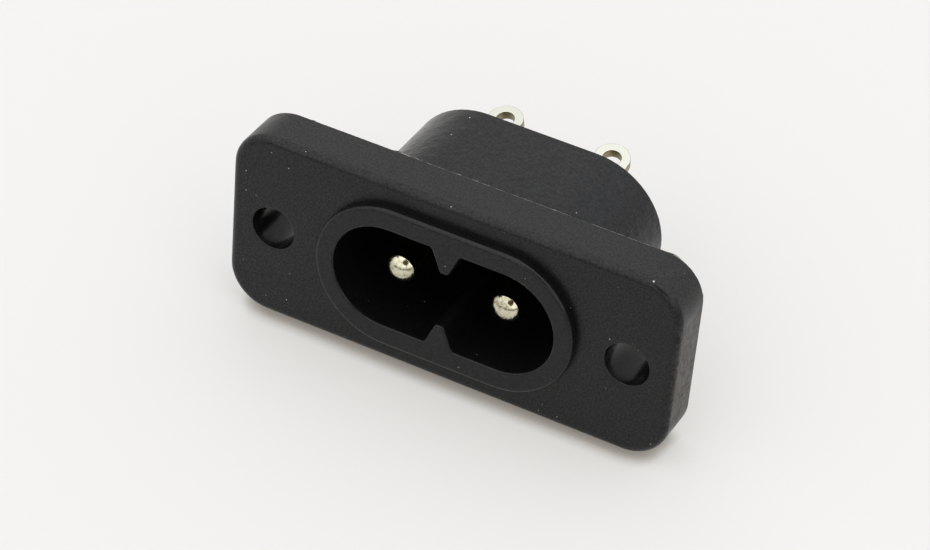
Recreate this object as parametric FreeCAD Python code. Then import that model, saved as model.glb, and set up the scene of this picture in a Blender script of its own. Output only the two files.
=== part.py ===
import FreeCAD, Part
import math
import os

# Figure eight appliance inlet for a panel, with a screw flange and solder lugs.
# Millimetres. X runs along the flange, Z up its height, and the plug comes from -Y.
# The origin is midway between the screw holes, in the flange's rear face.

# Socket that takes the plug, with a ridge above and below its waist
socket_length = 17.9
socket_height = 8.5
socket_depth = 12.4
socket_mouth_round = 0.2
ridge_root_width = 2.3
ridge_tip_width = 0.7
ridge_tip_gap = 4.6
ridge_edge_round = 0.3

# Walls round the socket, which the collar before the flange and the barrel behind it share
end_wall = 1.55
side_wall = 1.75

# Collar that stands proud of the flange round the socket's mouth
collar_rise = 0.8
collar_edge_round = 0.2

# Barrel behind the flange, which passes through the panel
barrel_depth = 10.35

# Screw holes, and their distance from the barrel's ends to their axes
screw_hole_diameter = 3.5
screw_offset = 3.95

# Flange, and its distance from the screws' axes to its ends
flange_end_margin = 3.65
flange_height = 15.6
flange_thickness = 3.75
flange_corner_radius = 3.3
flange_front_round = 0.6

# Contact pins, turned, with a shoulder on the socket's floor
pin_pitch = 8.6
pin_diameter = 2.36
pin_recess = 1.15
pin_dome_radius = 1.45
pin_tip_round = 0.1
pin_shoulder_diameter = 3.4
pin_shoulder_height = 0.8
pin_tail_diameter = 1.8
pin_tail_clearance = 0.02
pin_head_diameter = 2.6
pin_head_height = 0.6
pin_head_crown = 0.45

# Solder lugs, stamped from strip, bent and riveted to the pins' tails
lug_thickness = 0.8
lug_width = 2.8
lug_eye_diameter = 1.4
lug_eye_height = 3.83
lug_eye_reach = 3.05
lug_tilt = 15.0
lug_splay = 3.0
lug_bend_radius = 0.4

# Outlines that follow from the sizes above
barrel_length = socket_length + 2 * end_wall
barrel_height = socket_height + 2 * side_wall
screw_pitch = barrel_length + 2 * screw_offset
flange_length = screw_pitch + 2 * flange_end_margin

# Depths along Y that follow from the sizes above
flange_front_y = -flange_thickness
rim_y = flange_front_y - collar_rise
socket_floor_y = rim_y + socket_depth
pin_tip_y = rim_y + pin_recess

# Lengths closer than this count as equal
near = 0.0001


def vector(x, y, z):
    return FreeCAD.Vector(x, y, z)


def rounded_block(length, height, radius, start_y, end_y):
    """A block along Y whose X-Z outline has rounded corners; a stadium if radius is half its height."""
    diagonal = radius * math.sqrt(0.5)
    arcs = []
    for side, level in ((1, 1), (-1, 1), (-1, -1), (1, -1)):
        centre = vector(side * (length / 2 - radius), start_y, level * (height / 2 - radius))
        on_side = centre + vector(side * radius, 0, 0)
        on_level = centre + vector(0, 0, level * radius)
        middle = centre + vector(side * diagonal, 0, level * diagonal)
        ends = (on_side, on_level) if side == level else (on_level, on_side)
        arcs.append((ends[0], middle, ends[1]))
    edges = []
    for index, (start, middle, end) in enumerate(arcs):
        edges.append(Part.Arc(start, middle, end).toShape())
        next_start = arcs[(index + 1) % len(arcs)][0]
        if end.distanceToPoint(next_start) > near:
            edges.append(Part.makeLine(end, next_start))
    return Part.Face(Part.Wire(edges)).extrude(vector(0, end_y - start_y, 0))


def rod(diameter, start_y, end_y, x=0.0):
    """A round bar along Y at the height of the pins."""
    return Part.makeCylinder(diameter / 2, end_y - start_y, vector(x, start_y, 0), vector(0, 1, 0))


def edges_at(shape, y):
    """The edges of a shape that lie in the plane Y = y."""
    return [e for e in shape.Edges if abs(e.BoundBox.YMin - y) < near and abs(e.BoundBox.YMax - y) < near]


def make_flange():
    plate = rounded_block(flange_length, flange_height, flange_corner_radius, flange_front_y, 0)
    plate = plate.makeFillet(flange_front_round, edges_at(plate, flange_front_y))
    for side in (-1, 1):
        plate = plate.cut(rod(screw_hole_diameter, flange_front_y, 0, side * screw_pitch / 2))
    return plate


def make_barrel():
    return rounded_block(barrel_length, barrel_height, barrel_height / 2, flange_front_y / 2, barrel_depth)


def make_collar():
    collar = rounded_block(barrel_length, barrel_height, barrel_height / 2, rim_y, flange_front_y / 2)
    return collar.makeFillet(collar_edge_round, edges_at(collar, rim_y))


def make_ridge(level):
    """The wedge left standing in the socket above (level 1) or below (level -1) its waist."""
    slope = (ridge_root_width - ridge_tip_width) / (socket_height - ridge_tip_gap)
    buried = ridge_edge_round
    root_half = ridge_root_width / 2 + slope * buried
    tip_half = ridge_tip_width / 2
    root_z = level * (socket_height / 2 + buried)
    tip_z = level * ridge_tip_gap / 2
    corners = [(-root_half, root_z), (-tip_half, tip_z), (tip_half, tip_z), (root_half, root_z)]
    outline = [vector(x, rim_y, z) for x, z in corners]
    return Part.Face(Part.makePolygon(outline + outline[:1])).extrude(vector(0, socket_depth, 0))


def make_socket():
    """The hollow: a stadium with the two ridges left out and their long edges rounded."""
    hollow = rounded_block(socket_length, socket_height, socket_height / 2, rim_y, socket_floor_y)
    for level in (-1, 1):
        hollow = hollow.cut(make_ridge(level))
    long_edges = [e for e in hollow.Edges
                  if abs(e.BoundBox.YLength - socket_depth) < near and abs(e.CenterOfMass.x) < ridge_root_width]
    return hollow.makeFillet(ridge_edge_round, long_edges)


def make_body():
    """Flange, collar and barrel moulded in one, with the socket and the seats of the pins cut in."""
    body = make_flange().fuse([make_barrel(), make_collar()]).removeSplitter()
    body = body.cut(make_socket())
    mouth = [e for e in edges_at(body, rim_y)
             if max(abs(e.BoundBox.XMin), abs(e.BoundBox.XMax)) < socket_length / 2 + near
             and max(abs(e.BoundBox.ZMin), abs(e.BoundBox.ZMax)) < socket_height / 2 + near]
    body = body.makeFillet(socket_mouth_round, mouth)
    seat = pin_tail_diameter + 2 * pin_tail_clearance
    for side in (-1, 1):
        body = body.cut(rod(seat, socket_floor_y, barrel_depth, side * pin_pitch / 2))
    return body


def arc_through(start, end, centre, radius):
    """The short arc from start to end about a centre in the same plane."""
    middle = centre + ((start + end) * 0.5 - centre).normalize() * radius
    return Part.Arc(start, middle, end).toShape()


def pin_tip():
    """The profile of a pin's tip: a dome from the axis, then the round that meets the shank."""
    dome_centre = vector(0, pin_tip_y + pin_dome_radius, 0)
    inset = pin_diameter / 2 - pin_tip_round
    drop = math.sqrt((pin_dome_radius - pin_tip_round) ** 2 - inset ** 2)
    round_centre = dome_centre + vector(inset, -drop, 0)
    apex = vector(0, pin_tip_y, 0)
    dome_end = dome_centre + (round_centre - dome_centre).normalize() * pin_dome_radius
    shank_start = round_centre + vector(pin_tip_round, 0, 0)
    edges = [
        arc_through(apex, dome_end, dome_centre, pin_dome_radius),
        arc_through(dome_end, shank_start, round_centre, pin_tip_round),
    ]
    return edges, apex, shank_start


def make_pin(side):
    """A turned pin: tip, shank, shoulder on the socket's floor, and a tail headed over the solder lug."""
    edges, apex, shank_start = pin_tip()
    shoulder_y = socket_floor_y - pin_shoulder_height
    head_y = barrel_depth + lug_thickness
    head_edge = vector(pin_head_diameter / 2, head_y + pin_head_height - pin_head_crown, 0)
    head_top = vector(0, head_y + pin_head_height, 0)
    dome_radius = (head_edge.x ** 2 + pin_head_crown ** 2) / (2 * pin_head_crown)
    corners = [
        shank_start,
        vector(pin_diameter / 2, shoulder_y, 0),
        vector(pin_shoulder_diameter / 2, shoulder_y, 0),
        vector(pin_shoulder_diameter / 2, socket_floor_y, 0),
        vector(pin_tail_diameter / 2, socket_floor_y, 0),
        vector(pin_tail_diameter / 2, head_y, 0),
        vector(pin_head_diameter / 2, head_y, 0),
        head_edge,
    ]
    edges += [Part.makeLine(start, end) for start, end in zip(corners, corners[1:])]
    edges.append(arc_through(head_edge, head_top, head_top - vector(0, dome_radius, 0), dome_radius))
    edges.append(Part.makeLine(head_top, apex))
    pin = Part.Face(Part.Wire(edges)).revolve(vector(0, 0, 0), vector(0, 1, 0), 360)
    pin.translate(vector(side * pin_pitch / 2, 0, 0))
    return pin


def make_strip():
    """The bent strip of a lug, from the pin's axis up the barrel's rear face and then back to its eye."""
    tilt = math.radians(lug_tilt)
    turn = math.pi / 2 - tilt
    outer = lug_bend_radius + lug_thickness
    run = (lug_eye_reach - outer * (1 - math.cos(turn))) / math.cos(tilt)
    bend_y = barrel_depth + outer
    bend_z = lug_eye_height - outer * math.sin(turn) - run * math.sin(tilt)

    def on_bend(radius, angle):
        return vector(-lug_width / 2, bend_y - radius * math.cos(angle), bend_z + radius * math.sin(angle))

    along = vector(0, math.cos(tilt), math.sin(tilt)) * run
    foot_front = vector(-lug_width / 2, barrel_depth, 0)
    foot_rear = foot_front + vector(0, lug_thickness, 0)
    top_start, top_middle, top_end = (on_bend(outer, turn * part) for part in (0, 0.5, 1))
    low_start, low_middle, low_end = (on_bend(lug_bend_radius, turn * part) for part in (0, 0.5, 1))
    edges = [
        Part.makeLine(foot_front, top_start),
        Part.Arc(top_start, top_middle, top_end).toShape(),
        Part.makeLine(top_end, top_end + along),
        Part.makeLine(top_end + along, low_end + along),
        Part.makeLine(low_end + along, low_end),
        Part.Arc(low_end, low_middle, low_start).toShape(),
        Part.makeLine(low_start, foot_rear),
        Part.makeLine(foot_rear, foot_front),
    ]
    return Part.Face(Part.Wire(edges)).extrude(vector(lug_width, 0, 0))


def make_lug(side):
    """A lug with a round foot on the pin's tail and a round eye, turned a little outwards on the pin."""
    tilt = math.radians(lug_tilt)
    into_plate = vector(0, math.sin(tilt), -math.cos(tilt))
    eye = vector(0, barrel_depth + lug_eye_reach, lug_eye_height)
    eye_disc = Part.makeCylinder(lug_width / 2, lug_thickness, eye, into_plate)
    foot_disc = rod(lug_width, barrel_depth, barrel_depth + lug_thickness)
    lug = make_strip().fuse([eye_disc, foot_disc]).removeSplitter()
    drill_start = eye - into_plate * lug_thickness
    eye_drill = Part.makeCylinder(lug_eye_diameter / 2, 3 * lug_thickness, drill_start, into_plate)
    tail_hole = rod(pin_tail_diameter + 2 * pin_tail_clearance, barrel_depth, barrel_depth + lug_thickness)
    lug = lug.cut(eye_drill).cut(tail_hole)
    lug.rotate(vector(0, 0, 0), vector(0, 1, 0), side * lug_splay)
    lug.translate(vector(side * pin_pitch / 2, 0, 0))
    return lug


def main():
    os.makedirs("parts", exist_ok=True)
    make_body().exportStep("parts/socket_body.step")
    for name, side in (("left", -1), ("right", 1)):
        make_pin(side).exportStep(f"parts/contact_pin_{name}.step")
        make_lug(side).exportStep(f"parts/solder_lug_{name}.step")


main()
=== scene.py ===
import math

import bmesh
import bpy
from mathutils import Matrix, Vector, noise


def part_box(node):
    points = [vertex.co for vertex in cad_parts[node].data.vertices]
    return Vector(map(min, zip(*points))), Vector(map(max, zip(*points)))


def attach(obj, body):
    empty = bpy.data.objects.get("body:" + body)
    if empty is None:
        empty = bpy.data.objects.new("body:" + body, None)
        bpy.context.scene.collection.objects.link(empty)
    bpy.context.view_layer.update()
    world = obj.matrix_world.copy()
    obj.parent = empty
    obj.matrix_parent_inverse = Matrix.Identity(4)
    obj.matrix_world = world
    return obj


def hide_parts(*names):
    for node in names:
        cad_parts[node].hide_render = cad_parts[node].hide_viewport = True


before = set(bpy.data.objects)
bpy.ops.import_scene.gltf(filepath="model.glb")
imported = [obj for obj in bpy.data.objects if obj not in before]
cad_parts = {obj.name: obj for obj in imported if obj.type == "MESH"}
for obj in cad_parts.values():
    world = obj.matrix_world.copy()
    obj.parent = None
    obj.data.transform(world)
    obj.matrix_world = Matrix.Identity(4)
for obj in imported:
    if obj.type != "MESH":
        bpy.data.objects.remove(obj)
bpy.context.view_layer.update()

bl_info = {
    "name": "Figure Eight Inlet",
    "version": (1, 0, 0),
    "blender": (4, 5, 0),
    "location": "3D View > Sidebar > Inlet",
    "description": "Models and finishes a figure eight appliance inlet with a screw flange and solder lugs",
    "category": "Object",
}

MM = 0.001
SIDES = {"left": -1, "right": 1}
BACKWARDS = Vector((0, 1, 0))
UP = Vector((0, 0, 1))

# Points nearer than this are one point.
WELD = 0.001 * MM

# Width of the four-sided faces along a flat's edge, in radii of the round there: large rounds and small ones.
WIDE_BORDER = 1.05
FINE_BORDER = 1.2

# Edges that turn by more than this are rounded on a stamped strip.
STAMPED_EDGE = math.radians(60)


# Properties

def linear(hex_value):
    """The linear red, green and blue of an sRGB hex value such as "#1c1d1f"."""
    parts = [int(hex_value[i:i + 2], 16) / 255 for i in (1, 3, 5)]
    return tuple(c / 12.92 if c <= 0.04045 else ((c + 0.055) / 1.055) ** 2.4 for c in parts)


def length(name, description, millimetres):
    """A length property, given in millimetres and held in metres."""
    return bpy.props.FloatProperty(
        name=name, description=description, default=millimetres * MM, min=0.0, unit="LENGTH", precision=5)


def angle(name, description, degrees):
    """An angle property, given in degrees."""
    return bpy.props.FloatProperty(
        name=name, description=description, default=math.radians(degrees), unit="ROTATION")


def colour(name, description, hex_value):
    """A colour property, given as an sRGB hex value."""
    return bpy.props.FloatVectorProperty(
        name=name, description=description, default=linear(hex_value), min=0.0, max=1.0, subtype="COLOR")


def place(name, description, millimetres):
    """A point, given in millimetres and held in metres."""
    return bpy.props.FloatVectorProperty(
        name=name, description=description, default=tuple(c * MM for c in millimetres), subtype="TRANSLATION")


def direction(name, description, towards):
    """A direction of any length."""
    return bpy.props.FloatVectorProperty(
        name=name, description=description, default=towards, subtype="DIRECTION")


def strength(name, description, value):
    """The strength of a light."""
    return bpy.props.FloatProperty(name=name, description=description, default=value, min=0.0)


class HousingSizes(bpy.types.PropertyGroup):
    """Sizes of the moulded housing that its box in the frame doesn't give."""

    socket_length: length("Socket length", "Inside length of the socket", 17.9)
    socket_height: length("Socket height", "Inside height of the socket", 8.5)
    socket_depth: length("Socket depth", "From the rim to the socket's floor", 12.4)
    mouth_round: length("Mouth round", "Radius at the socket's mouth", 0.2)
    ridge_root: length("Ridge root", "Width of a ridge where it leaves the wall", 2.3)
    ridge_tip: length("Ridge tip", "Width of a ridge at its tip", 0.7)
    ridge_gap: length("Ridge gap", "Clear height between the two ridges", 4.6)
    ridge_round: length("Ridge round", "Radius along a ridge's edges", 0.3)
    end_wall: length("End wall", "Wall between the socket's end and the barrel's", 1.55)
    side_wall: length("Side wall", "Wall above and below the socket", 1.75)
    collar_rise: length("Collar rise", "How far the collar stands proud of the flange", 0.8)
    collar_round: length("Collar round", "Radius of the collar's outer edge", 0.3)
    screw_hole: length("Screw hole", "Diameter of a screw hole", 3.5)
    screw_draft: length("Screw hole draft", "How much narrower a screw hole is at the back", 0.15)
    screw_offset: length("Screw offset", "From the barrel's end to a screw hole's axis", 3.95)
    flange_corner: length("Flange corner", "Radius of the flange's corners", 3.3)
    flange_round: length("Flange round", "Radius of the flange's front edge", 0.6)
    edge_break: length("Edge break", "Radius that the tooling leaves on the other edges", 0.07)
    pin_seat: length("Pin seat", "Diameter of the hole that takes a pin's tail", 1.84)


class PinSizes(bpy.types.PropertyGroup):
    """Sizes of a turned contact pin."""

    diameter: length("Diameter", "Diameter of the shank", 2.36)
    dome_radius: length("Dome radius", "Radius of the dome on the tip", 1.45)
    tip_round: length("Tip round", "Radius where the dome meets the shank", 0.1)
    shoulder_diameter: length("Shoulder diameter", "Diameter of the shoulder on the socket's floor", 3.4)
    shoulder_height: length("Shoulder height", "Height of that shoulder", 0.8)
    tail_diameter: length("Tail diameter", "Diameter of the tail in the housing", 1.8)
    head_diameter: length("Head diameter", "Diameter of the rivet head over the lug", 2.6)
    head_height: length("Head height", "Height of the rivet head", 0.6)
    head_crown: length("Head crown", "Height of the dome on that head", 0.45)
    edge_break: length("Edge break", "Radius on the pin's turned corners", 0.06)


class FlashSizes(bpy.types.PropertyGroup):
    """Sizes of the flash on the mould's parting line."""

    height: length("Height", "How far the flash stands up almost everywhere", 0.08)
    tear_height: length("Tear height", "How far the flash stands up where it is tallest", 0.35)
    thickness: length("Thickness", "Thickness of the flash", 0.05)
    pitch: length("Pitch", "How far apart the tears in the flash are", 0.8)
    step: length("Step", "Length of one straight piece of the torn edge", 0.2)
    inset: length("Inset", "From the flange's side to the flash", 0.075)
    root: length("Root", "How deep the flash starts inside the flange", 0.1)


class LugSizes(bpy.types.PropertyGroup):
    """Sizes of a stamped and bent solder lug."""

    thickness: length("Thickness", "Thickness of the strip", 0.8)
    width: length("Width", "Width of the strip", 2.8)
    eye_diameter: length("Eye", "Diameter of the eye for the lead", 1.4)
    tail_hole: length("Tail hole", "Diameter of the hole for the pin's tail", 1.84)
    eye_height: length("Eye height", "Height of the eye above the pin's axis", 3.83)
    eye_reach: length("Eye reach", "From the barrel's rear face to the eye's centre", 3.05)
    bend_radius: length("Bend radius", "Inside radius of the bend", 0.4)
    edge_round: length("Edge round", "Radius that the punch rolls over on the strip's edges", 0.07)
    tilt: angle("Tilt", "Rise of the eye's end", 15.0)
    splay: angle("Splay", "Turn of a lug outwards on its pin", 3.0)


class Finishes(bpy.types.PropertyGroup):
    """Colours of the finishes."""

    plastic: colour("Black plastic", "Moulding compound of the housing", "#0c0c0d")
    dust: colour("Dust", "Specks of dust on the moulding", "#b4b0a6")
    # Also the colour of the painted glints on the fibres towards the flange's left end.
    fibre_and_glint: colour("Fibre", "Glass fibres at the moulding's surface", "#70757a")
    # Also the tint of the painted warm sheen on the flange ends.
    scuff: colour("Scuff", "Places that handling has rubbed pale", "#7d6a58")
    torn: colour("Torn", "Moulding compound where the flash tore off", "#8a827c")
    nickel: colour("Nickel", "Plating on the contacts", "#d2cfb6")
    tarnish: colour("Tarnish", "Stains on that plating", "#8a836c")
    tin: colour("Tin", "Plating on the lugs", "#c8c8be")
    brass: colour("Brass", "Bare brass where the strip was punched", "#9a9276")
    paper: colour("Paper", "Floor under the object, as the lamps light it", "#c4c4c6")
    paper_glow: colour("Paper glow", "The same floor where the camera sees it unshaded", "#f8f4ec")
    # Painted shadow: the floor's colour close to the part, where it stands on the card.
    paper_painted_shadow: colour("Paper at the contact", "The same floor where the part touches it", "#aca79f")
    backdrop: colour("Backdrop", "Card behind the floor", "#f6f4f1")
    # Also painted into the pits on the nickel plating, as painted shade.
    shade: colour("Shade", "The camera and what stands behind it, seen in the metal", "#3a2c20")
    plastic_ior: bpy.props.FloatProperty(
        name="Plastic IOR", description="Refractive index of the moulding compound", default=1.42, min=1.0)


class StageSizes(bpy.types.PropertyGroup):
    """Camera, floor and lamps."""

    camera_place: place("Camera place", "Where the camera stands", (79.913, -173.376, 143.951))
    camera_aim: place("Camera aim", "The point that the camera looks at", (0.695, -2.384, 1.251))
    camera_roll: angle("Camera roll", "Turn of the camera about its line of sight", 5.3)
    lens: bpy.props.FloatProperty(
        name="Lens", description="Focal length in millimetres for that sensor", default=127.37, min=1.0)
    sensor_width: bpy.props.FloatProperty(
        name="Sensor width", description="Width of the camera's sensor in millimetres", default=36.0, min=1.0)
    clip_start: length("Clip start", "Nothing nearer to the camera than this is seen", 10.0)
    floor_width: length("Floor width", "Width and depth of the floor", 4000.0)
    sky_towards: direction("Sky towards", "Where the sky is brightest", (0.3, -0.4, 0.9))
    sky_brightest: strength("Brightest sky", "Strength of the sky where it is brightest", 2.05)
    sky_dimmest: strength("Dimmest sky", "Strength of the sky a quarter turn from there and beyond", 0.92)
    glow: strength("Glow", "Share of the paper's brightness that no shadow touches", 0.36)
    glow_strength: strength("Glow strength", "Strength of that share", 1.1)
    contact_reach: length("Contact reach", "How far from the part the floor darkens towards it", 1.35)
    camera_shade: angle("Camera shade", "Half the angle that the dark camera fills", 18.0)
    room_height: angle("Room height", "Height of the dark room seen over the floor's edge", 5.5)
    room_reach: angle("Room reach", "How far round from the camera that room reaches", 75.0)
    card_height: angle("Card height", "How high the pale card looks that gloss sees behind the floor", 12.0)
    lamp_towards: direction("Lamp towards", "Where the wide soft lamp stands", (-0.6, 0.5, 1.1))
    lamp_strength: strength("Lamp strength", "Strength of that lamp", 0.3)
    lamp_angle: angle("Lamp angle", "How wide that lamp looks from the object", 40.0)


# Mesh helpers

def new_shape():
    """An empty bmesh whose edges can take bevel weights."""
    bm = bmesh.new()
    bm.edges.layers.float.new("bevel_weight_edge")
    return bm


def outline(bm, corners, y, segments=16):
    """A closed loop in the plane Y = y through corners (x, z, setback), each rounded from its setback."""
    known = set(bm.edges)
    verts = [bm.verts.new((x, y, z)) for x, z, _ in corners]
    bm.faces.new(verts)
    for setback in sorted({corner[2] for corner in corners}):
        group = [v for v, corner in zip(verts, corners) if corner[2] == setback]
        bmesh.ops.bevel(bm, geom=group, offset=setback, offset_type="OFFSET", segments=segments,
                        profile=0.5, affect="VERTICES", clamp_overlap=False, material=-1)
    face = next(f for f in bm.faces if not known.intersection(f.edges) and abs(f.verts[0].co.y - y) < WELD
                and all(len(e.link_faces) == 1 for e in f.edges))
    loop = list(face.verts)
    bmesh.ops.delete(bm, geom=[face], context="FACES_ONLY")
    bmesh.ops.remove_doubles(bm, verts=loop, dist=WELD)
    return [e for e in bm.edges if e not in known]


def circle(bm, diameter, centre, axis=BACKWARDS, segments=64):
    """A closed loop of edges round centre."""
    turn = UP.rotation_difference(axis).to_matrix().to_4x4()
    made = bmesh.ops.create_circle(bm, segments=segments, radius=diameter / 2, cap_ends=False,
                                   matrix=Matrix.Translation(centre) @ turn)
    return list({e for v in made["verts"] for e in v.link_edges})


def fill(bm, border, *loops):
    """A flat face between loops in one plane, four-sided along every loop; gives its faces and the loops."""
    places = [{tuple(v.co) for e in loop for v in e.verts} for loop in loops]
    made = bmesh.ops.triangle_fill(bm, use_beauty=True, use_dissolve=False, edges=sum(loops, []))
    faces = [g for g in made["geom"] if isinstance(g, bmesh.types.BMFace)]
    ring = bmesh.ops.inset_region(bm, faces=faces, use_boundary=True, use_even_offset=True,
                                  thickness=border)["faces"]
    edges = {e for face in ring for e in face.edges}
    outer = [[e for e in edges if place.issuperset(tuple(v.co) for v in e.verts)] for place in places]
    return faces + ring, outer


def wall(bm, loop, y):
    """A wall along Y from a loop to the plane Y = y; gives the wall's faces and the loop at its end."""
    made = bmesh.ops.extrude_edge_only(bm, edges=loop)["geom"]
    verts = [g for g in made if isinstance(g, bmesh.types.BMVert)]
    bmesh.ops.translate(bm, verts=verts, vec=(0, y - verts[0].co.y, 0))
    moved = set(verts)
    end = [g for g in made if isinstance(g, bmesh.types.BMEdge) and moved.issuperset(g.verts)]
    return [g for g in made if isinstance(g, bmesh.types.BMFace)], end


def finish_faces(faces, slot):
    """Gives faces the finish in one of the piece's material slots."""
    for face in faces:
        face.material_index = slot


def weigh(bm, rounds):
    """Gives edges their bevel weights from (edges, radius) pairs; returns the widest radius."""
    widest = max(radius for _, radius in rounds)
    layer = bm.edges.layers.float["bevel_weight_edge"]
    for edges, radius in rounds:
        for edge in edges:
            edge[layer] = radius / widest
    return widest


def make_piece(name, bm, materials, nodes):
    """Turns a bmesh into a smooth-shaded piece that rides on the part and stands for its CAD nodes."""
    bmesh.ops.recalc_face_normals(bm, faces=bm.faces)
    for face in bm.faces:
        face.smooth = True
    mesh = bpy.data.meshes.new(name)
    bm.to_mesh(mesh)
    bm.free()
    for material in materials:
        mesh.materials.append(material)
    piece = bpy.data.objects.new(name, mesh)
    bpy.context.scene.collection.objects.link(piece)
    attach(piece, "root")
    if nodes:
        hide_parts(*nodes)
    return piece


def round_edges(piece, widest, segments):
    """Rounds the weighted edges and keeps the flats beside them flat in the shading."""
    bevel = piece.modifiers.new("Edge rounds", "BEVEL")
    bevel.limit_method = "WEIGHT"
    bevel.width = widest
    bevel.segments = segments
    bevel.profile = 0.5
    bevel.use_clamp_overlap = False
    bevel.face_strength_mode = "FSTR_ALL"
    shading = piece.modifiers.new("Flat shading", "WEIGHTED_NORMAL")
    shading.mode = "FACE_AREA"
    shading.use_face_influence = True
    shading.keep_sharp = True


# Materials

def add_node(tree, kind, inputs=None, **settings):
    """Adds a node with its settings; an input is a value, a node's output, or a node for its first output."""
    made = tree.nodes.new("ShaderNode" + kind)
    for name, value in settings.items():
        setattr(made, name, value)
    for key, value in (inputs or {}).items():
        socket = made.inputs[key] if isinstance(key, int) else next(
            s for s in made.inputs if s.name == key and s.enabled)
        if isinstance(value, bpy.types.Node):
            value = next(s for s in value.outputs if s.enabled)
        if isinstance(value, bpy.types.NodeSocket):
            tree.links.new(value, socket)
        else:
            socket.default_value = value
    return made


def new_material(name):
    """A material without nodes; returns it and its tree."""
    material = bpy.data.materials.new(name)
    material.use_nodes = True
    material.node_tree.nodes.clear()
    return material, material.node_tree


def per_metre(millimetres):
    """A texture scale whose features are this far apart."""
    return 1 / (millimetres * MM)


# A pixel of the render is about 0.07 mm wide on the part. What is finer on the real one is drawn one to
# three pixels wide, and a comment beside it gives the real size.

# The detail of noise that stands for a fine grain, and the range that it mostly lies in.
FINE = {"Detail": 3.0, "Roughness": 0.6}
MOSTLY = {"From Min": 0.35, "From Max": 0.65}

# Rings that a wave texture of scale 1 has in one unit of length.
RINGS_PER_UNIT = 20 / (2 * math.pi)


def specks(tree, coords, *, pitch, share, radius):
    """Specks of up to this radius in a share of cells of this pitch, both in mm: up to 1 inside, else 0."""
    cells = add_node(tree, "TexVoronoi", {"Vector": coords, "Scale": per_metre(pitch)}, feature="F1")
    picks = add_node(tree, "SeparateColor", {"Color": cells.outputs["Color"]}).outputs
    reach = add_node(tree, "Math", {0: picks["Green"], 1: radius / pitch}, operation="MULTIPLY")
    inside = add_node(tree, "Math", {0: cells.outputs["Distance"], 1: reach}, operation="LESS_THAN")
    chosen = add_node(tree, "Math", {0: picks["Red"], 1: share}, operation="LESS_THAN")
    shown = add_node(tree, "Math", {0: inside, 1: chosen}, operation="MULTIPLY")
    # Squared, so that most specks are thin and few are solid.
    body = add_node(tree, "Math", {0: picks["Blue"], 1: 2.0}, operation="POWER")
    return add_node(tree, "Math", {0: shown, 1: body}, operation="MULTIPLY")


def fibre_glints(tree, coords, share):
    """Short pale dashes that lie along the flow: glass fibres at the surface, and a painted glint that shows
    towards the left end.
    """
    # Real fibres are about 0.01 mm thick.
    flow_angle, stretch = math.radians(-38), 2
    all_x, none_x = -16 * MM, -4 * MM
    flow = add_node(tree, "Mapping", {
        "Vector": coords, "Rotation": (0, flow_angle, 0), "Scale": (1, 1, stretch)}, vector_type="TEXTURE")
    strands = add_node(tree, "TexNoise", {"Vector": flow, "Scale": per_metre(0.14), **FINE})
    dashes = add_node(tree, "MapRange", {
        "Value": strands, "From Min": 0.5, "From Max": 0.7, "To Min": 0.0, "To Max": share})
    # The dashes are pale only towards the left end: a painted glint, where light glances off the grain.
    across = add_node(tree, "SeparateXYZ", {"Vector": coords}).outputs["X"]
    left = add_node(tree, "MapRange", {
        "Value": across, "From Min": all_x, "From Max": none_x, "To Min": 1.0, "To Max": 0.0})
    return add_node(tree, "Math", {0: dashes, 1: left}, operation="MULTIPLY")


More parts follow.
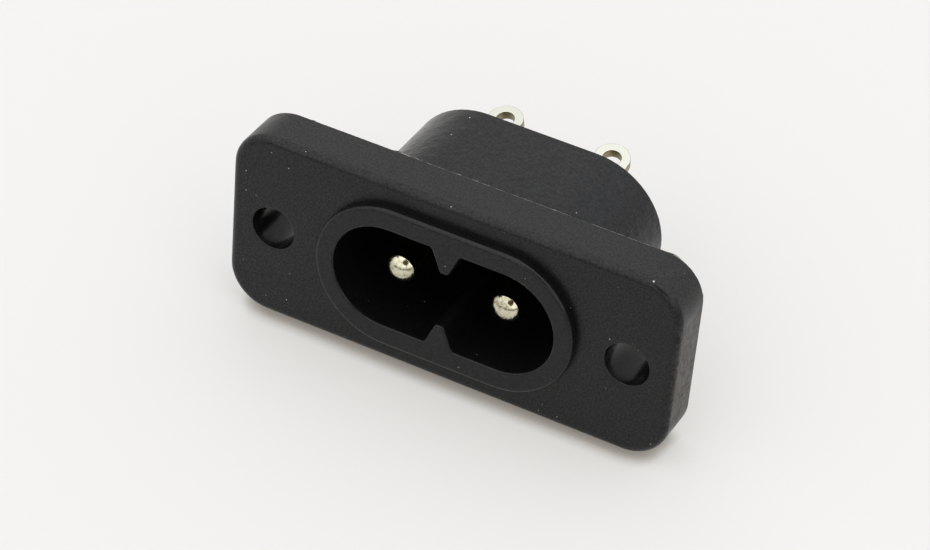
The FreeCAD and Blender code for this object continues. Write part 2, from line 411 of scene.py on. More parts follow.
def moulded_plastic(finishes, name, *, grain, relief, contrast, roughness, sheen, painted_reflection_tint=(1.0, 1.0, 1.0),
                    ripples=(4.5, 0.03), fibres=0.0, rubs=0.0, dusting=0.9, bloom=0.0):
    """Black glass-filled polyester: grain, ripples, uneven gloss, fibres, rubs and dust, with painted
    sparkle, glints and reflection tints; lengths in mm.
    """
    material, tree = new_material(name)
    coords = add_node(tree, "TexCoord").outputs["Object"]
    pits = add_node(tree, "TexNoise", {"Vector": coords, "Scale": per_metre(grain), **FINE})
    gloss = add_node(tree, "MapRange", {
        "Value": pits, **MOSTLY, "To Min": sheen * (1 - contrast), "To Max": sheen * (1 + contrast)})
    handled = add_node(tree, "TexNoise", {
        "Vector": coords, "Scale": per_metre(1.4), "Detail": 4.0, "Roughness": 0.6})
    uneven = add_node(tree, "MapRange", {
        "Value": handled, **MOSTLY, "To Min": roughness - 0.05, "To Max": roughness + 0.06})

    # The grain is drawn lighter where it is raised: its own tone, and a painted sparkle on its tops.
    grain_and_sparkle = add_node(tree, "MapRange", {"Value": pits, **MOSTLY, "To Min": 0.0, "To Max": 1.0})
    dark, light = [(*[c * share for c in finishes.plastic], 1) for share in (0.7, 1.4)]
    tone = add_node(tree, "Mix", {"Factor": grain_and_sparkle, "A": dark, "B": light}, data_type="RGBA")
    rubbed = add_node(tree, "TexNoise", {
        "Vector": coords, "Scale": per_metre(0.4), "Detail": 5.0, "Roughness": 0.75})
    worn = add_node(tree, "MapRange", {
        "Value": rubbed, "From Min": 0.3, "From Max": 0.75, "To Min": 0.0, "To Max": rubs})
    covers = (
        (fibre_glints(tree, coords, fibres), finishes.fibre_and_glint),
        (worn, finishes.scuff),
        (specks(tree, coords, pitch=0.85, share=dusting, radius=0.075), finishes.dust),
    )
    for cover, shown in covers:
        tone = add_node(tree, "Mix", {"Factor": cover, "A": tone, "B": (*shown, 1)}, data_type="RGBA")

    ripple_pitch, ripple_height = ripples
    flow = add_node(tree, "TexNoise", {
        "Vector": coords, "Scale": per_metre(ripple_pitch), "Detail": 2.0, "Roughness": 0.6})
    rippled = add_node(tree, "Bump", {"Height": flow, "Distance": ripple_height * MM})
    grained = add_node(tree, "Bump", {"Height": pits, "Distance": relief * MM, "Normal": rippled})
    # The reflection tint paints the colour of the light that the surface reflects; the sheen, tinted in the
    # scuff colour, is a painted warm sheen at a slant.
    shader = add_node(tree, "BsdfPrincipled", {
        "Base Color": tone, "Roughness": uneven, "Specular IOR Level": gloss, "Normal": grained,
        "IOR": finishes.plastic_ior, "Specular Tint": (*painted_reflection_tint, 1), "Sheen Weight": bloom,
        "Sheen Tint": (*finishes.scuff, 1)})
    add_node(tree, "OutputMaterial", {"Surface": shader})
    return material


def spark_eroded_plastic(finishes):
    """Flange, moulded in a spark-eroded cavity: a dry, even sparkle that keeps every reflection soft."""
    # Real craters are about 0.03 mm wide.
    return moulded_plastic(finishes, "spark_eroded_plastic", grain=0.17, relief=0.012, contrast=0.25,
                           roughness=0.33, sheen=0.39, fibres=0.06)


def trimmed_plastic(finishes):
    """Flange ends, where the gates were cut off: torn, with a broken glare, and a painted warm reflection: a
    warm tint on the glare and a brown sheen at a slant.
    """
    # The tears are as wide as real ones.
    return moulded_plastic(finishes, "trimmed_plastic", grain=0.3, relief=0.05, contrast=0.45,
                           roughness=0.35, sheen=0.32, painted_reflection_tint=(1.08, 1.0, 0.92), rubs=0.02, bloom=0.15)


def satin_plastic(finishes):
    """Collar, moulded in a stoned cavity: a closer grain and a firmer sheen than the flange."""
    # Real stone marks are about 0.01 mm wide.
    return moulded_plastic(finishes, "satin_plastic", grain=0.14, relief=0.006, contrast=0.15,
                           roughness=0.26, sheen=0.37, fibres=0.05)


def drawn_plastic(finishes):
    """Barrel, drawn out of a long cavity: a satin, wrinkled skin that glares at a low angle, with a bluish
    tint on its reflection that paints a bluish light.
    """
    # Real drag marks are about 0.05 mm wide. The wrinkles are as far apart as real ones.
    return moulded_plastic(finishes, "drawn_plastic", grain=0.22, relief=0.01, contrast=0.2,
                           roughness=0.22, sheen=0.31, painted_reflection_tint=(0.9, 0.97, 1.06), ripples=(1.0, 0.07),
                           rubs=0.03)


def core_pin_plastic(finishes):
    """Screw holes, moulded on steel core pins: the smoothest skin, with crisp reflections turned down as
    painted shade for the deep holes.
    """
    # Real grinding marks from the core pins are about 0.01 mm wide.
    return moulded_plastic(finishes, "core_pin_plastic", grain=0.2, relief=0.004, contrast=0.1,
                           roughness=0.2, sheen=0.2, dusting=0.0)


def socket_plastic(finishes):
    """Socket, moulded on the core: smooth, unlit and with little dust, its sheen turned down as painted shade
    so that it reads as black.
    """
    # Real polishing marks from the core are about 0.01 mm wide.
    return moulded_plastic(finishes, "socket_plastic", grain=0.2, relief=0.004, contrast=0.1,
                           roughness=0.4, sheen=0.12, dusting=0.5)


def nickel_plate(finishes, name, centre_x):
    """Bright nickel on turned brass: a mirror with faint rings round the pin's axis, stains, and pits painted
    dark as shade.
    """
    material, tree = new_material(name)
    coords = add_node(tree, "TexCoord").outputs["Object"]
    stains = add_node(tree, "TexNoise", {
        "Vector": coords, "Scale": per_metre(0.6), "Detail": 4.0, "Roughness": 0.6})
    stained = add_node(tree, "MapRange", {
        "Value": stains, "From Min": 0.42, "From Max": 0.68, "To Min": 0.0, "To Max": 1.0})
    dulled = add_node(tree, "MapRange", {
        "Value": stains, "From Min": 0.3, "From Max": 0.75, "To Min": 0.1, "To Max": 0.24})
    tone = (*finishes.nickel, 1)
    # The pits are painted shade: dark specks in the shade colour that the metal reflects.
    pits = specks(tree, coords, pitch=0.35, share=1.0, radius=0.12)
    for cover, shown in ((stained, finishes.tarnish), (pits, finishes.shade)):
        tone = add_node(tree, "Mix", {"Factor": cover, "A": tone, "B": (*shown, 1)}, data_type="RGBA")

    # Real turning marks are about 0.05 mm apart.
    centred = add_node(tree, "Mapping", {"Vector": coords, "Location": (-centre_x, 0, 0)})
    rings = add_node(tree, "TexWave", {
        "Vector": centred, "Scale": per_metre(0.157) / RINGS_PER_UNIT, "Distortion": 0.6, "Detail": 2.0},
        wave_type="RINGS", rings_direction="Y", wave_profile="SIN")
    turned = add_node(tree, "Bump", {"Height": rings.outputs["Fac"], "Distance": 0.002 * MM})
    shader = add_node(tree, "BsdfPrincipled", {
        "Base Color": tone, "Metallic": 1.0, "Roughness": dulled, "Normal": turned})
    add_node(tree, "OutputMaterial", {"Surface": shader})
    return material


def scored_metal(name, bare, *, pitch, stretch, detail, torn, gloss, depth):
    """Metal with fine marks that dull it unevenly: marks of this pitch in mm, drawn out along the strip."""
    material, tree = new_material(name)
    coords = add_node(tree, "TexCoord").outputs["Object"]
    strip = add_node(tree, "Mapping", {"Vector": coords, "Scale": (1.0, 1 / stretch, 1 / stretch)})
    marks = add_node(tree, "TexNoise", {
        "Vector": strip, "Scale": per_metre(pitch), "Detail": detail, "Roughness": torn})
    smoothest, dullest = gloss
    dulled = add_node(tree, "MapRange", {
        "Value": marks, "From Min": 0.3, "From Max": 0.7, "To Min": smoothest, "To Max": dullest})
    scored = add_node(tree, "Bump", {"Height": marks, "Distance": depth * MM})
    shader = add_node(tree, "BsdfPrincipled", {
        "Base Color": (*bare, 1), "Metallic": 1.0, "Roughness": dulled, "Normal": scored})
    add_node(tree, "OutputMaterial", {"Surface": shader})
    return material


def tinned_strip(finishes):
    """Tin-plated brass strip: a soft white sheen with long rolling marks."""
    # Real rolling marks are about 0.01 mm apart.
    return scored_metal("tinned_strip", finishes.tin, pitch=0.08, stretch=1 / 0.12, detail=3.0, torn=0.6,
                        gloss=(0.22, 0.36), depth=0.003)


def sheared_brass(finishes):
    """Bare brass where the punch sheared and tore the strip: duller, yellower and scored."""
    # The scores are as far apart as real ones.
    return scored_metal("sheared_brass", finishes.brass, pitch=0.15, stretch=1.0, detail=4.0, torn=0.7,
                        gloss=(0.3, 0.5), depth=0.01)


def torn_flash(finishes):
    """Flash on the parting line: dry, ragged, and paler than the moulding where it tore."""
    material, tree = new_material("torn_flash")
    coords = add_node(tree, "TexCoord").outputs["Object"]
    tears = add_node(tree, "TexNoise", {"Vector": coords, "Scale": per_metre(0.5), **FINE})
    pale = add_node(tree, "MapRange", {
        "Value": tears, "From Min": 0.43, "From Max": 0.63, "To Min": 0.0, "To Max": 1.0})
    tone = add_node(tree, "Mix", {
        "Factor": pale, "A": (*finishes.plastic, 1), "B": (*finishes.torn, 1)}, data_type="RGBA")
    crumbs = add_node(tree, "TexNoise", {"Vector": coords, "Scale": per_metre(0.1), **FINE})
    ragged = add_node(tree, "Bump", {"Height": crumbs, "Distance": 0.01 * MM})
    shader = add_node(tree, "BsdfPrincipled", {
        "Base Color": tone, "IOR": finishes.plastic_ior, "Roughness": 0.6, "Normal": ragged})
    add_node(tree, "OutputMaterial", {"Surface": shader})
    return material


# Pieces

# The housing's material slots, in the order of its finishes.
FLANGE, COLLAR, BARREL, SCREW_HOLES, SOCKET, FLANGE_ENDS = range(6)
HOUSING_FINISHES = (spark_eroded_plastic, satin_plastic, drawn_plastic, core_pin_plastic, socket_plastic,
                    trimmed_plastic)


class INLET_OT_housing(bpy.types.Operator):
    """Model the moulded housing: flange, collar, socket with its ridges, and barrel"""

    bl_idname = "inlet.housing"
    bl_label = "Housing"

    def execute(self, context):
        sizes = context.scene.inlet_housing
        bm = new_shape()
        flange_rear, hole_ends, collar_rim, front_rounds = self.front(bm, sizes)
        seat_ends, socket_rounds = self.socket(bm, sizes, collar_rim)
        rear_rounds = self.rear(bm, sizes, flange_rear, hole_ends, seat_ends)
        widest = weigh(bm, front_rounds + socket_rounds + rear_rounds)
        materials = [make(context.scene.inlet_finishes) for make in HOUSING_FINISHES]
        piece = make_piece("housing", bm, materials, ["socket_body"])
        round_edges(piece, widest, segments=5)
        return {"FINISHED"}

    def front(self, bm, sizes):
        """The flange with its screw holes, and the collar's side; gives open loops and rounds."""
        low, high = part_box("socket_body")
        front_y = low.y + sizes.collar_rise
        half_length, half_height = barrel_half(sizes)
        flange = outline(bm, box_corners(high.x, high.z, sizes.flange_corner), front_y)
        collar = outline(bm, box_corners(half_length, half_height, half_height), front_y)
        screws = [Vector((side * (half_length + sizes.screw_offset), front_y, 0)) for side in SIDES.values()]
        holes = [circle(bm, sizes.screw_hole, centre) for centre in screws]
        border = sizes.flange_round * WIDE_BORDER
        front, (flange, collar, *holes) = fill(bm, border, flange, collar, *holes)
        flange_side, flange_rear = wall(bm, flange, 0)
        finish_faces(front + flange_side, FLANGE)
        finish_faces([f for f in flange_side if abs(f.verts[0].co.x - f.calc_center_median().x) < WELD],
                     FLANGE_ENDS)

        narrow = 1 - sizes.screw_draft / sizes.screw_hole
        hole_ends = []
        for centre, hole in zip(screws, holes):
            hole_side, end = wall(bm, hole, 0)
            finish_faces(hole_side, SCREW_HOLES)
            bmesh.ops.scale(bm, verts=list({v for e in end for v in e.verts}), vec=(narrow, 1, narrow),
                            space=Matrix.Translation(-centre))
            hole_ends.append(end)

        collar_side, collar_rim = wall(bm, collar, low.y)
        finish_faces(collar_side, COLLAR)
        for edge in collar:
            edge.smooth = False
        rounds = [(flange, sizes.flange_round), (collar_rim, sizes.collar_round),
                  (sum(holes, []), sizes.edge_break)]
        return flange_rear, hole_ends, collar_rim, rounds

    def socket(self, bm, sizes, collar_rim):
        """The collar's rim, the socket and the seats of the pins; gives the seats' ends and rounds."""
        rim_y, barrel_y = (corner.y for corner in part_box("socket_body"))
        half_length, half_height = barrel_half(sizes)
        inset = sizes.collar_round * FINE_BORDER
        land = outline(bm, box_corners(half_length - inset, half_height - inset, half_height - inset), rim_y)
        rim_edge = bmesh.ops.bridge_loops(bm, edges=collar_rim + land)["faces"]
        mouth = outline(bm, socket_corners(sizes), rim_y)
        rim, (_, mouth) = fill(bm, sizes.mouth_round * WIDE_BORDER, land, mouth)
        finish_faces(rim + rim_edge, COLLAR)

        floor_y = rim_y + sizes.socket_depth
        socket_side, socket_floor = wall(bm, mouth, floor_y)
        pin_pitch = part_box("contact_pin_right")[0].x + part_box("contact_pin_right")[1].x
        seats = [circle(bm, sizes.pin_seat, (side * pin_pitch / 2, floor_y, 0)) for side in SIDES.values()]
        floor, (socket_floor, *seats) = fill(bm, sizes.edge_break * FINE_BORDER, socket_floor, *seats)
        finish_faces(socket_side + floor, SOCKET)
        seat_ends = []
        for seat in seats:
            seat_side, end = wall(bm, seat, barrel_y)
            finish_faces(seat_side, SOCKET)
            seat_ends.append(end)
        rounds = [(mouth, sizes.mouth_round), (socket_floor + sum(seats, []), sizes.edge_break)]
        return seat_ends, rounds

    def rear(self, bm, sizes, flange_rear, hole_ends, seat_ends):
        """The back of the flange, and the barrel with its rear face; gives rounds."""
        half_length, half_height = barrel_half(sizes)
        barrel = outline(bm, box_corners(half_length, half_height, half_height), 0)
        border = sizes.flange_round * WIDE_BORDER
        back, (flange_rear, barrel, *_) = fill(bm, border, flange_rear, barrel, *hole_ends)
        finish_faces(back, FLANGE)
        barrel_side, barrel_rear = wall(bm, barrel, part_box("socket_body")[1].y)
        rear, (barrel_rear, *seat_ends) = fill(bm, sizes.edge_break * FINE_BORDER, barrel_rear, *seat_ends)
        finish_faces(barrel_side + rear, BARREL)
        for edge in barrel:
            edge.smooth = False
        return [(flange_rear + barrel_rear + sum(seat_ends, []), sizes.edge_break)]


def barrel_half(sizes):
    """Half the barrel's length and height, which are the socket's with its walls."""
    return sizes.socket_length / 2 + sizes.end_wall, sizes.socket_height / 2 + sizes.side_wall


def box_corners(half_length, half_height, setback):
    """The corners of a rounded box, for outline."""
    return [(x * half_length, z * half_height, setback) for x, z in ((1, 1), (-1, 1), (-1, -1), (1, -1))]


def socket_corners(sizes):
    """The corners of the socket: rounded ends, and a ridge that points at its waist from above and below."""
    half_length, half_height = sizes.socket_length / 2, sizes.socket_height / 2
    root, tip, gap = sizes.ridge_root / 2, sizes.ridge_tip / 2, sizes.ridge_gap / 2
    turn = math.pi / 2 - math.atan2(root - tip, half_height - gap)
    setback = sizes.ridge_round * math.tan(turn / 2)
    top = [(half_length, half_height, half_height), (root, half_height, setback), (tip, gap, setback),
           (-tip, gap, setback), (-root, half_height, setback), (-half_length, half_height, half_height)]
    return top + [(-x, -z, corner) for x, z, corner in top]


class INLET_OT_flash(bpy.types.Operator):
    """Leave the thin, torn flash that the mould's parting line makes round the back of the flange"""

    bl_idname = "inlet.flash"
    bl_label = "Flash"

    def execute(self, context):
        sizes = context.scene.inlet_flash
        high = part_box("socket_body")[1]
        corner = context.scene.inlet_housing.flange_corner
        inset = sizes.inset
        bm = new_shape()
        loop = outline(bm, box_corners(high.x - inset, high.z - inset, corner - inset), -sizes.root)
        for edge in [e for e in loop if e.calc_length() > 2 * sizes.step]:
            bmesh.ops.subdivide_edges(bm, edges=[edge], cuts=int(edge.calc_length() / sizes.step))
        edge = wall(bm, bm.edges[:], 0)[1]
        for vert in {v for e in edge for v in e.verts}:
            torn = noise.noise(vert.co / sizes.pitch)
            vert.co.y = max(sizes.height, sizes.tear_height * torn)
        bmesh.ops.recalc_face_normals(bm, faces=bm.faces)
        bmesh.ops.solidify(bm, geom=bm.faces[:], thickness=sizes.thickness)
        make_piece("flash", bm, [torn_flash(context.scene.inlet_finishes)], [])
        return {"FINISHED"}


class INLET_OT_contact_pins(bpy.types.Operator):
    """Turn the contact pins, each with a domed tip, a shoulder and a riveted tail"""

    bl_idname = "inlet.contact_pins"
    bl_label = "Contact pins"

    def execute(self, context):
        for name in SIDES:
            self.turn_pin(context, name)
        return {"FINISHED"}

    def turn_pin(self, context, name):
        """Spins a pin's profile of (radius, y) corners, from the apex of its tip to its rivet head's."""
        sizes = context.scene.inlet_pins
        low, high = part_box("contact_pin_" + name)
        floor_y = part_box("socket_body")[0].y + context.scene.inlet_housing.socket_depth
        shoulder_y, head_y = floor_y - sizes.shoulder_height, high.y - sizes.head_height
        shank, shoulder = sizes.diameter / 2, sizes.shoulder_diameter / 2
        tail, head = sizes.tail_diameter / 2, sizes.head_diameter / 2
        head_dome = (head ** 2 + sizes.head_crown ** 2) / (2 * sizes.head_crown)
        tip_cap = [(r, low.y + cap_height(r, sizes.dome_radius)) for r in radii(0, shank)]
        shoulder_corners = [(shoulder, shoulder_y), (shoulder, floor_y)]
        head_corners = [(head, head_y), (head, high.y - sizes.head_crown)]
        head_cap = [(r, high.y - cap_height(r, head_dome)) for r in radii(0, head)]
        profile = (tip_cap + [(shank, shoulder_y)] + shoulder_corners + [(tail, floor_y), (tail, head_y)]
                   + head_corners + head_cap[-2::-1])

        bm = new_shape()
        verts = [bm.verts.new((r, y, 0)) for r, y in profile]
        edges = [bm.edges.new(pair) for pair in zip(verts, verts[1:])]
        bmesh.ops.spin(bm, geom=verts + edges, cent=(0, 0, 0), axis=BACKWARDS, angle=2 * math.pi, steps=64,
                       use_merge=True)
        bmesh.ops.remove_doubles(bm, verts=bm.verts, dist=WELD)
        widest = weigh(bm, [
            (rings_at(bm, tip_cap[-1:]), sizes.tip_round),
            (rings_at(bm, shoulder_corners + head_corners), sizes.edge_break),
        ])
        centre_x = (low.x + high.x) / 2
        bmesh.ops.translate(bm, verts=bm.verts, vec=(centre_x, 0, 0))
        material = nickel_plate(context.scene.inlet_finishes, "nickel_plate_" + name, centre_x)
        piece = make_piece("contact_" + name, bm, [material], ["contact_pin_" + name])
        round_edges(piece, widest, segments=6)


def cap_height(radius, dome_radius):
    """How far a dome falls from its apex at a distance from its axis."""
    return dome_radius - math.sqrt(dome_radius ** 2 - radius ** 2)


def radii(start, end, steps=5):
    """Radii in even steps from start to end."""
    return [start + (end - start) * i / steps for i in range(steps + 1)]


def rings_at(bm, corners):
    """The round edges of a turned shape that run through profile corners (radius, y)."""
    def on_ring(vert, corner):
        radius = math.hypot(vert.co.x, vert.co.z)
        return abs(radius - corner[0]) < WELD and abs(vert.co.y - corner[1]) < WELD

    return [e for e in bm.edges for corner in corners if all(on_ring(v, corner) for v in e.verts)]


LUG_FINISHES = (tinned_strip, sheared_brass)


class INLET_OT_solder_lugs(bpy.types.Operator):
    """Stamp and bend the solder lugs, each with a hole for its pin and an eye for the lead"""

    bl_idname = "inlet.solder_lugs"
    bl_label = "Solder lugs"

    def execute(self, context):
        materials = [make(context.scene.inlet_finishes) for make in LUG_FINISHES]
        for name, side in SIDES.items():
            self.bend_lug(context.scene.inlet_lugs, name, side, materials)
        return {"FINISHED"}

    def bend_lug(self, sizes, name, side, materials):
        """Bends the outside of the strip up from the barrel's rear face, then gives it its thickness."""
        rear_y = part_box("socket_body")[1].y
        pin_low, pin_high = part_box("contact_pin_" + name)
        outer = sizes.bend_radius + sizes.thickness
        turn = math.pi / 2 - sizes.tilt
        run = (sizes.eye_reach - outer * (1 - math.cos(turn))) / math.cos(sizes.tilt)
        bend_z = sizes.eye_height - outer * math.sin(turn) - run * math.sin(sizes.tilt)
        bm = new_shape()
        fold = [bm.verts.new((x * sizes.width / 2, rear_y, bend_z)) for x in (-1, 1)]
        fold_edge = bm.edges.new(fold)
        bend = bmesh.ops.spin(bm, geom=fold + [fold_edge], cent=(0, rear_y + outer, bend_z), axis=(1, 0, 0),
                              angle=-turn, steps=8)["geom_last"]
        last_edge = next(g for g in bend if isinstance(g, bmesh.types.BMEdge))
        eye = Vector((0, rear_y + sizes.eye_reach, sizes.eye_height))
        border = sizes.edge_round * FINE_BORDER
        eye_axis = Vector((0, -math.sin(sizes.tilt), math.cos(sizes.tilt)))
        tongue(bm, fold_edge, Vector((0, rear_y, 0)), -BACKWARDS, sizes.tail_hole, border)
        tongue(bm, last_edge, eye, eye_axis, sizes.eye_diameter, border)
        bmesh.ops.remove_doubles(bm, verts=bm.verts, dist=WELD)
        bmesh.ops.recalc_face_normals(bm, faces=bm.faces)
        leg_face = max(bm.faces, key=lambda face: abs(face.normal.y))
        if leg_face.normal.y > 0:
            bmesh.ops.reverse_faces(bm, faces=bm.faces)
        sheet = set(bm.verts)
        bmesh.ops.solidify(bm, geom=bm.faces[:], thickness=sizes.thickness)
        cut_faces = [f for f in bm.faces if 0 < len(sheet.intersection(f.verts)) < len(f.verts)]
        finish_faces(cut_faces, LUG_FINISHES.index(sheared_brass))
        sharp = [e for e in bm.edges if len(e.link_faces) == 2 and e.calc_face_angle() > STAMPED_EDGE]
        widest = weigh(bm, [(sharp, sizes.edge_round)])
        pin_axis = Matrix.Translation(((pin_low.x + pin_high.x) / 2, 0, 0))
        matrix = pin_axis @ Matrix.Rotation(side * sizes.splay, 4, "Y")
        bmesh.ops.transform(bm, matrix=matrix, verts=bm.verts)
        piece = make_piece("lug_" + name, bm, materials, ["solder_lug_" + name])
        round_edges(piece, widest, segments=3)


def tongue(bm, edge, centre, axis, hole_diameter, border):
    """A flat tongue from an edge to a round end about centre, with a hole there."""
    ends = []
    for vert in edge.verts:
        made = bmesh.ops.extrude_vert_indiv(bm, verts=[vert])["verts"]
        bmesh.ops.translate(bm, verts=made, vec=centre - Vector((0, vert.co.y, vert.co.z)))
        ends += made
    outwards = (centre - (edge.verts[0].co + edge.verts[1].co) / 2).normalized()
    start, end = ends
    clockwise = axis.cross(start.co - centre).dot(outwards) > 0
    arc = bmesh.ops.spin(bm, geom=[start], cent=centre, axis=axis, angle=math.pi if clockwise else -math.pi,
                         steps=32)["geom_last"]
    bmesh.ops.weld_verts(bm, targetmap={arc[0]: end})
    hole = circle(bm, hole_diameter, centre, axis, segments=48)
    rest = [e for e in bm.edges if not e.link_faces and e not in hole and e != edge]
    fill(bm, border, rest + [edge], hole)


# Stage

def rays(tree, *kinds):
    """1 for a ray of one of these kinds and 0 for any other."""
    path = add_node(tree, "LightPath").outputs
    seen = path[kinds[0]]
    for kind in kinds[1:]:
        seen = add_node(tree, "Math", {0: seen, 1: path[kind]}, operation="MAXIMUM")
    return seen


def floor_slope(context):
    """The floor's slope: the part leans back on the lower rear edges of its flange and its barrel."""
    low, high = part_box("socket_body")
    half_height = barrel_half(context.scene.inlet_housing)[1]
    return Matrix.Rotation(math.atan2(-half_height - low.z, high.y), 3, "X")


class INLET_OT_stage(bpy.types.Operator):
    """Lay the paper floor and set up the lamps and the camera"""

    bl_idname = "inlet.stage"
    bl_label = "Stage"

    def execute(self, context):
        context.scene.view_settings.view_transform = "Standard"
        self.lay_floor(context)
        self.hang_sky(context)
        self.place_lamp(context)
        self.aim_camera(context)
        return {"FINISHED"}

    def lay_floor(self, context):
        """Slopes the floor under the part, which stays upright in its own frame."""
        bm = bmesh.new()
        bmesh.ops.create_grid(bm, x_segments=1, y_segments=1, size=context.scene.inlet_stage.floor_width / 2)
        bmesh.ops.rotate(bm, verts=bm.verts, cent=(0, 0, 0), matrix=floor_slope(context))
        bmesh.ops.translate(bm, verts=bm.verts, vec=(0, 0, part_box("socket_body")[0].z))
        mesh = bpy.data.meshes.new("paper")
        bm.to_mesh(mesh)
        bm.free()
        mesh.materials.append(self.paper(context))
        floor = bpy.data.objects.new("paper", mesh)
        context.scene.collection.objects.link(floor)

    def paper(self, context):
        """Smooth white card: matt, with part of its brightness the same everywhere that it is seen, apart
        from a painted contact shadow near the part.
        """
        finishes, sizes = context.scene.inlet_finishes, context.scene.inlet_stage
        material, tree = new_material("paper")
        # Painted contact shadow: close to the part both shares darken towards the painted shadow colour, so
        # that a thin soft line of painted shadow seats the part on the card.
        open_sky = add_node(tree, "AmbientOcclusion", {"Distance": sizes.contact_reach}, samples=8)
        away = add_node(tree, "MapRange", {
            "Value": open_sky.outputs["AO"], "From Min": 0.5, "From Max": 0.9, "To Min": 0.0, "To Max": 1.0})
        near = (*finishes.paper_painted_shadow, 1)
        lit, glowing = [
            add_node(tree, "Mix", {"Factor": away, "A": near, "B": (*far, 1)}, data_type="RGBA")
            for far in (finishes.paper, finishes.paper_glow)]
        shader = add_node(tree, "BsdfPrincipled", {
            "Base Color": lit, "Roughness": 0.9, "Specular IOR Level": 0.2})
        glow = add_node(tree, "Emission", {"Color": glowing, "Strength": sizes.glow_strength})
        seen = rays(tree, "Is Camera Ray", "Is Glossy Ray", "Is Transmission Ray")
        share = add_node(tree, "Math", {0: seen, 1: sizes.glow}, operation="MULTIPLY")
        mix = add_node(tree, "MixShader", {0: share, 1: shader, 2: glow})
        add_node(tree, "OutputMaterial", {"Surface": mix})
        return material

    def hang_sky(self, context):
        """A soft sky, brightest above and in front of the part, over a dark room and a pale card."""
        finishes, sizes = context.scene.inlet_finishes, context.scene.inlet_stage
        world = bpy.data.worlds.new("Studio")
        context.scene.world = world
        world.use_nodes = True
        tree = world.node_tree
        tree.nodes.clear()
        ray = add_node(tree, "TexCoord").outputs["Generated"]
        # How nearly a ray runs towards the bright sky, the camera and straight up from the floor.
        sides = [Vector(side).normalized() for side in (
            sizes.sky_towards, sizes.camera_place, floor_slope(context) @ UP)]
        skywards, camerawards, rise = [
            add_node(tree, "VectorMath", {0: ray, 1: side}, operation="DOT_PRODUCT") for side in sides]
        brightness = add_node(tree, "MapRange", {
            "Value": skywards, "From Min": 0.0, "From Max": 1.0,
            "To Min": sizes.sky_dimmest, "To Max": sizes.sky_brightest})

        # The camera, and the room behind it over the floor's edge, are dark.
        camera = add_node(tree, "Math", {
            0: camerawards, 1: math.cos(sizes.camera_shade)}, operation="GREATER_THAN")
        low = add_node(tree, "Math", {0: rise, 1: math.sin(sizes.room_height)}, operation="LESS_THAN")
        near = add_node(tree, "Math", {
            0: camerawards, 1: math.cos(sizes.room_reach)}, operation="GREATER_THAN")
        room = add_node(tree, "Math", {0: low, 1: near}, operation="MULTIPLY")
        dark = add_node(tree, "Math", {0: camera, 1: room}, operation="MAXIMUM")
        sky_colour = add_node(tree, "Mix", {
            "Factor": dark, "A": (1.0, 1.0, 1.0, 1), "B": (*finishes.shade, 1)}, data_type="RGBA")
        sky = add_node(tree, "Background", {"Color": sky_colour, "Strength": brightness})

        # The camera sees the card all round, and gloss sees it up to its height, apart from where it is dark.
        card = add_node(tree, "Background", {"Color": (*finishes.backdrop, 1)})
        card_side = add_node(tree, "Math", {0: rise, 1: math.sin(sizes.card_height)}, operation="LESS_THAN")
        pale = add_node(tree, "Math", {0: card_side, 1: dark}, operation="GREATER_THAN")
        mirrored = add_node(tree, "Math", {0: rays(tree, "Is Glossy Ray"), 1: pale}, operation="MULTIPLY")
        seen = add_node(tree, "Math", {
            0: rays(tree, "Is Camera Ray", "Is Transmission Ray"), 1: mirrored}, operation="MAXIMUM")
        mix = add_node(tree, "MixShader", {0: seen, 1: sky, 2: card})
        add_node(tree, "OutputWorld", {"Surface": mix})

    def place_lamp(self, context):
        """A wide soft lamp, left out of reflections so that only the sky shows in the gloss."""
        sizes = context.scene.inlet_stage
        lamp = bpy.data.lights.new("Softbox", "SUN")
        lamp.energy = sizes.lamp_strength
        lamp.angle = sizes.lamp_angle
        holder = bpy.data.objects.new("Softbox", lamp)
        holder.rotation_euler = (-Vector(sizes.lamp_towards)).to_track_quat("-Z", "Y").to_euler()
        holder.visible_glossy = False
        context.scene.collection.objects.link(holder)

    def aim_camera(self, context):
        """Sets up the camera as it stood for the photo."""
        sizes = context.scene.inlet_stage
        data = bpy.data.cameras.new("Camera")
        data.lens = sizes.lens
        data.sensor_width = sizes.sensor_width
        data.clip_start = sizes.clip_start
        camera = bpy.data.objects.new("Camera", data)
        line = Vector(sizes.camera_aim) - Vector(sizes.camera_place)
        level = line.to_track_quat("-Z", "Y").to_matrix().to_4x4()
        camera.matrix_world = (Matrix.Translation(sizes.camera_place) @ level
                               @ Matrix.Rotation(sizes.camera_roll, 4, "Z"))
        context.scene.collection.objects.link(camera)
        context.scene.camera = camera


# Sidebar

class INLET_PT_panel(bpy.types.Panel):
    """Lists the steps that build the inlet"""

    bl_idname = "INLET_PT_panel"
    bl_label = "Figure Eight Inlet"
    bl_space_type = "VIEW_3D"
    bl_region_type = "UI"
    bl_category = "Inlet"

    def draw(self, context):
        for step in STEPS:
            self.layout.operator(step.bl_idname)


GROUPS = {
    "inlet_housing": HousingSizes,
    "inlet_pins": PinSizes,
    "inlet_flash": FlashSizes,
    "inlet_lugs": LugSizes,
    "inlet_finishes": Finishes,
    "inlet_stage": StageSizes,
}
STEPS = (INLET_OT_housing, INLET_OT_flash, INLET_OT_contact_pins, INLET_OT_solder_lugs, INLET_OT_stage)


def register():
    for group in GROUPS.values():
        bpy.utils.register_class(group)
    for name, group in GROUPS.items():
        setattr(bpy.types.Scene, name, bpy.props.PointerProperty(type=group))
    for step in STEPS:
        bpy.utils.register_class(step)
    bpy.utils.register_class(INLET_PT_panel)


def unregister():
    bpy.utils.unregister_class(INLET_PT_panel)
    for step in reversed(STEPS):
        bpy.utils.unregister_class(step)
    for name in GROUPS:
        delattr(bpy.types.Scene, name)
    for group in reversed(list(GROUPS.values())):
        bpy.utils.unregister_class(group)


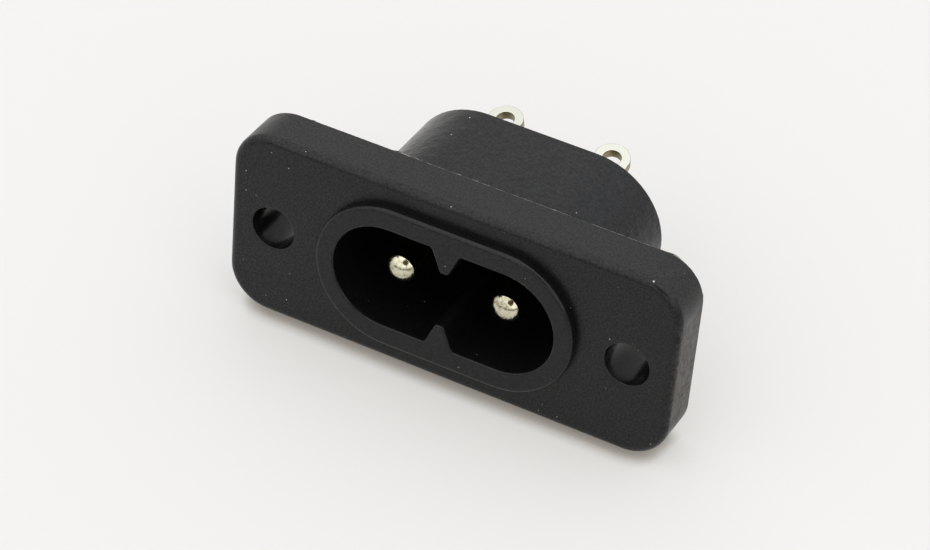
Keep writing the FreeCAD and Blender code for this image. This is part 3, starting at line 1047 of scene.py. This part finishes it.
def main():
    register()
    bpy.ops.inlet.housing()
    bpy.ops.inlet.flash()
    bpy.ops.inlet.contact_pins()
    bpy.ops.inlet.solder_lugs()
    bpy.ops.inlet.stage()


if __name__ == "__main__":
    main()
